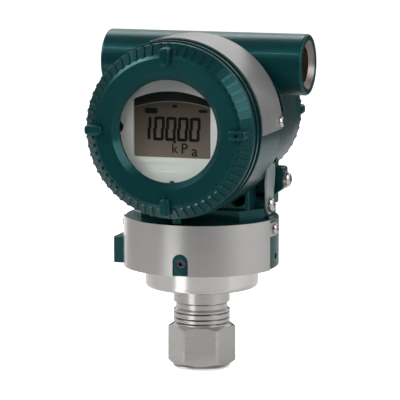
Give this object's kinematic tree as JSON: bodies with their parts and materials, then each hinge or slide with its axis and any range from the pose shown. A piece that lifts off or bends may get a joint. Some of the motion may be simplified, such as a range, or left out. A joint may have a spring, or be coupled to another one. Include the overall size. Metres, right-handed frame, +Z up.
{
  "type": "pressure transmitter",
  "caption": "Pressure transmitter: round painted housing with a glass-fronted screw cover, a conduit tube across the top, a drum skirt and a hexagon process connector below.",
  "frame": {"origin": "centre of the process port's mouth, on the bottom face of the hexagon connector", "axes": "+Z up along the process connector, -Y the way the display looks, +X to the display's right"},
  "size_m": [0.11, 0.1278, 0.1786],
  "materials": {
    "stainless": "satin stainless steel",
    "bright_stainless": "polished stainless steel",
    "seal_rubber": "black seal rubber",
    "housing_paint": "satin baked paint on cast aluminium",
    "band_sheet": "bare brushed stainless sheet",
    "screw_steel": "plain bright screw steel",
    "set_screw_steel": "dark set screw steel",
    "black_plastic": "matt black moulded plastic",
    "circuit_board": "green lacquered board",
    "screen": "dark liquid crystal panel behind glass",
    "bezel_face": "pale silver face plate",
    "plated_brass": "plated brass",
    "window_glass": "clear flat glass",
    "bare_aluminium": "plain machined aluminium"
  },
  "bodies": {
    "sensor": {"process_connector": "stainless", "sensor_body": "bright_stainless", "isolating_diaphragm": "bright_stainless", "sensor_header": "stainless", "skirt_seal": "seal_rubber"},
    "housing": {"housing_casting": "housing_paint", "housing_drum": "housing_paint", "bracket_lug": "housing_paint", "conduit_end_right": "housing_paint", "conduit_end_left": "housing_paint", "skirt_band": "band_sheet", "skirt_band_screws": "screw_steel", "name_band": "band_sheet", "name_band_screw": "screw_steel", "housing_lock_screws": "set_screw_steel", "cover_lock_screws": "set_screw_steel", "ground_screw": "screw_steel", "ground_washer": "screw_steel", "leaf_pivot_screw": "screw_steel", "sensor_lead": "black_plastic", "amplifier_case": "black_plastic", "amplifier_board": "circuit_board", "amplifier_screws": "screw_steel", "display_carrier": "black_plastic", "display_board": "circuit_board", "lcd_panel": "screen", "bezel_plate": "bezel_face", "display_screws": "screw_steel", "feedthrough": "black_plastic", "terminal_block": "black_plastic", "terminal_clamps": "plated_brass", "terminal_screws": "plated_brass", "block_screws": "screw_steel", "inner_earth_screw": "screw_steel"},
    "front_cover_seal": {"front_cover_seal": "seal_rubber"},
    "front_cover": {"front_cover": "housing_paint", "window_gasket": "seal_rubber", "window_glass": "window_glass", "window_retainer": "bare_aluminium"},
    "rear_cover_seal": {"rear_cover_seal": "seal_rubber"},
    "rear_cover": {"rear_cover": "housing_paint"},
    "adjuster_cover": {"adjuster_cover": "band_sheet"},
    "zero_adjuster": {"zero_adjuster": "screw_steel", "adjuster_seal": "seal_rubber"}
  },
  "joints": [
    {"name": "housing_swivel", "type": "hinge", "parent": "sensor", "child": "housing", "pos_m": [0, 0, 0.0614], "axis": [0, 0, 1], "range_deg": [-180, 180]},
    {"name": "front_cover_travel", "type": "slide", "parent": "housing", "child": "front_cover_seal", "axis": [0, -1, 0], "range_m": [0, 0.013]},
    {"name": "front_cover_turn", "type": "hinge", "parent": "front_cover_seal", "child": "front_cover", "pos_m": [0, -0.05, 0.13185], "axis": [0, -1, 0], "range_deg": [0, 2340]},
    {"name": "rear_cover_travel", "type": "slide", "parent": "housing", "child": "rear_cover_seal", "axis": [0, 1, 0], "range_m": [0, 0.011]},
    {"name": "rear_cover_turn", "type": "hinge", "parent": "rear_cover_seal", "child": "rear_cover", "pos_m": [0, 0.05, 0.13185], "axis": [0, 1, 0], "range_deg": [0, 1980]},
    {"name": "adjuster_cover_swing", "type": "hinge", "parent": "housing", "child": "adjuster_cover", "pos_m": [0.0368, 0.0006, 0.0883], "axis": [1, 0, 0], "range_deg": [0, 90]},
    {"name": "zero_adjuster_turn", "type": "hinge", "parent": "housing", "child": "zero_adjuster", "pos_m": [0.0325, 0.0054, 0.1], "axis": [1, 0, 0], "continuous": true}
  ],
  "couplings": [
    {"joint": "front_cover_travel", "follows": "front_cover_turn", "m_per_rad": 0.00031831},
    {"joint": "rear_cover_travel", "follows": "rear_cover_turn", "m_per_rad": 0.00031831}
  ]
}
